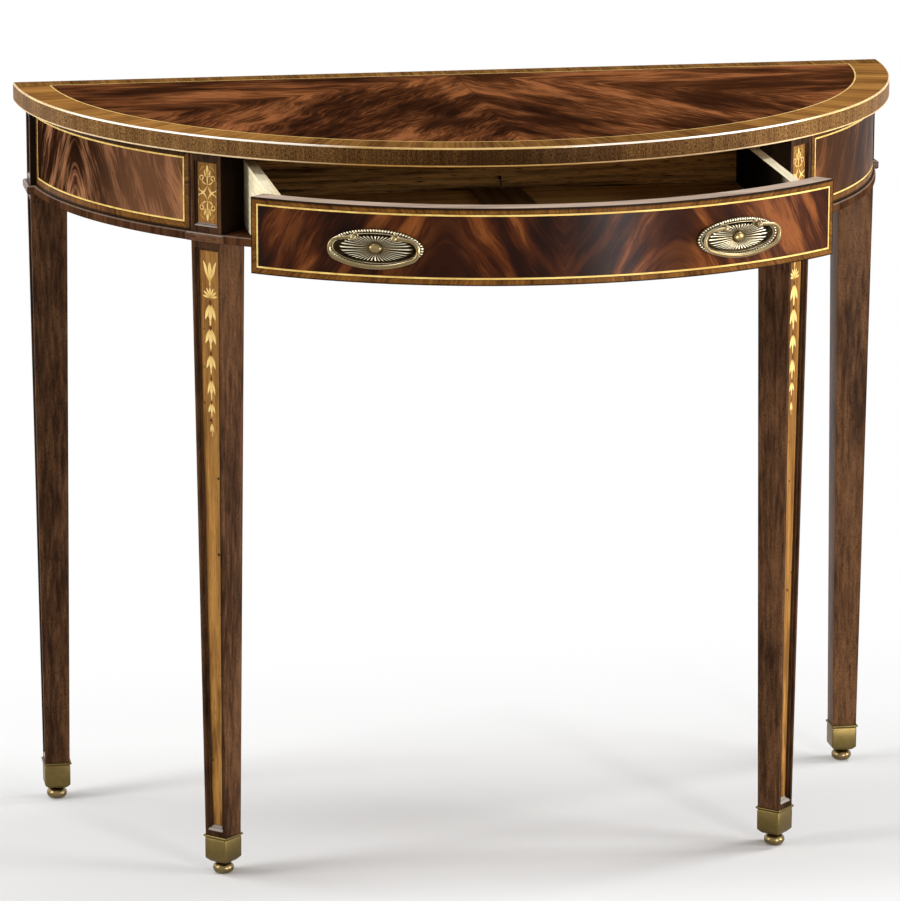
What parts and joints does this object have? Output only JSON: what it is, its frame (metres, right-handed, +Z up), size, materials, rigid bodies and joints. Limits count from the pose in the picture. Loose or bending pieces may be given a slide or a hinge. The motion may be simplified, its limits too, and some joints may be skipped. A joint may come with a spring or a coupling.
{
  "type": "demilune table",
  "caption": "Half-round veneered side table on square tapered inlaid legs with brass feet and a bow-front drawer that slides out on runners, with hinged oval bail handles.",
  "frame": {"origin": "on the floor under the centre of the footprint's box, with the drawer open as pictured", "axes": "+X to the right along the straight back, +Y towards the wall at the back, +Z up"},
  "size_m": [0.9144, 0.6334, 0.762],
  "materials": {
    "mahogany": "dark polished mahogany, lightly distressed",
    "flame_veneer": "polished flame-figured mahogany veneer",
    "crossband": "polished golden-brown crossbanding",
    "boxwood": "pale boxwood stringing",
    "satinwood": "satinwood panel with pale marquetry",
    "oak": "pale unfinished oak",
    "secondary": "brown secondary wood, oiled",
    "brass": "antique brass, hand rubbed"
  },
  "bodies": {
    "table": {"back_left_block_inlay": "satinwood", "back_left_collar": "mahogany", "back_left_leg": "mahogany", "back_left_leg_inlay": "satinwood", "back_left_sabot": "brass", "back_rail": "mahogany", "back_right_block_inlay": "satinwood", "back_right_collar": "mahogany", "back_right_leg": "mahogany", "back_right_leg_inlay": "satinwood", "back_right_sabot": "brass", "bun_feet": "brass", "drawer_rail": "mahogany", "edge_band": "crossband", "edge_strings": "boxwood", "front_left_block_inlay": "satinwood", "front_left_collar": "mahogany", "front_left_leg": "mahogany", "front_left_leg_inlay": "satinwood", "front_left_sabot": "brass", "front_right_block_inlay": "satinwood", "front_right_collar": "mahogany", "front_right_leg": "mahogany", "front_right_leg_inlay": "satinwood", "front_right_sabot": "brass", "glue_blocks": "secondary", "left_frieze": "mahogany", "left_frieze_band": "crossband", "left_frieze_string": "boxwood", "left_frieze_veneer": "flame_veneer", "left_kicker": "secondary", "left_moulding": "mahogany", "left_runner": "secondary", "right_frieze": "mahogany", "right_frieze_band": "crossband", "right_frieze_string": "boxwood", "right_frieze_veneer": "flame_veneer", "right_kicker": "secondary", "right_moulding": "mahogany", "right_runner": "secondary", "top_core": "mahogany", "top_crossband": "crossband", "top_field_veneer": "flame_veneer", "top_string": "boxwood"},
    "drawer": {"drawer_back": "secondary", "drawer_front": "mahogany", "drawer_front_band": "crossband", "drawer_front_string": "boxwood", "drawer_front_veneer": "flame_veneer", "drawer_left_bottom": "secondary", "drawer_left_side": "oak", "drawer_muntin": "secondary", "drawer_right_bottom": "secondary", "drawer_right_side": "oak", "handle_nuts": "brass", "handle_posts": "brass", "left_handle_plate": "brass", "right_handle_plate": "brass"},
    "left_bail": {"left_bail": "brass"},
    "right_bail": {"right_bail": "brass"}
  },
  "joints": [
    {"name": "drawer_slide", "type": "slide", "parent": "table", "child": "drawer", "axis": [0, -1, 0], "range_m": [-0.192, 0.04]},
    {"name": "left_bail_hinge", "type": "hinge", "parent": "drawer", "child": "left_bail", "pos_m": [-0.17655, -0.28917, 0.7074], "axis": [-0.9198, 0.3923, 0], "range_deg": [0, 150]},
    {"name": "right_bail_hinge", "type": "hinge", "parent": "drawer", "child": "right_bail", "pos_m": [0.17655, -0.28917, 0.7074], "axis": [-0.9198, -0.3923, 0], "range_deg": [0, 150]}
  ]
}
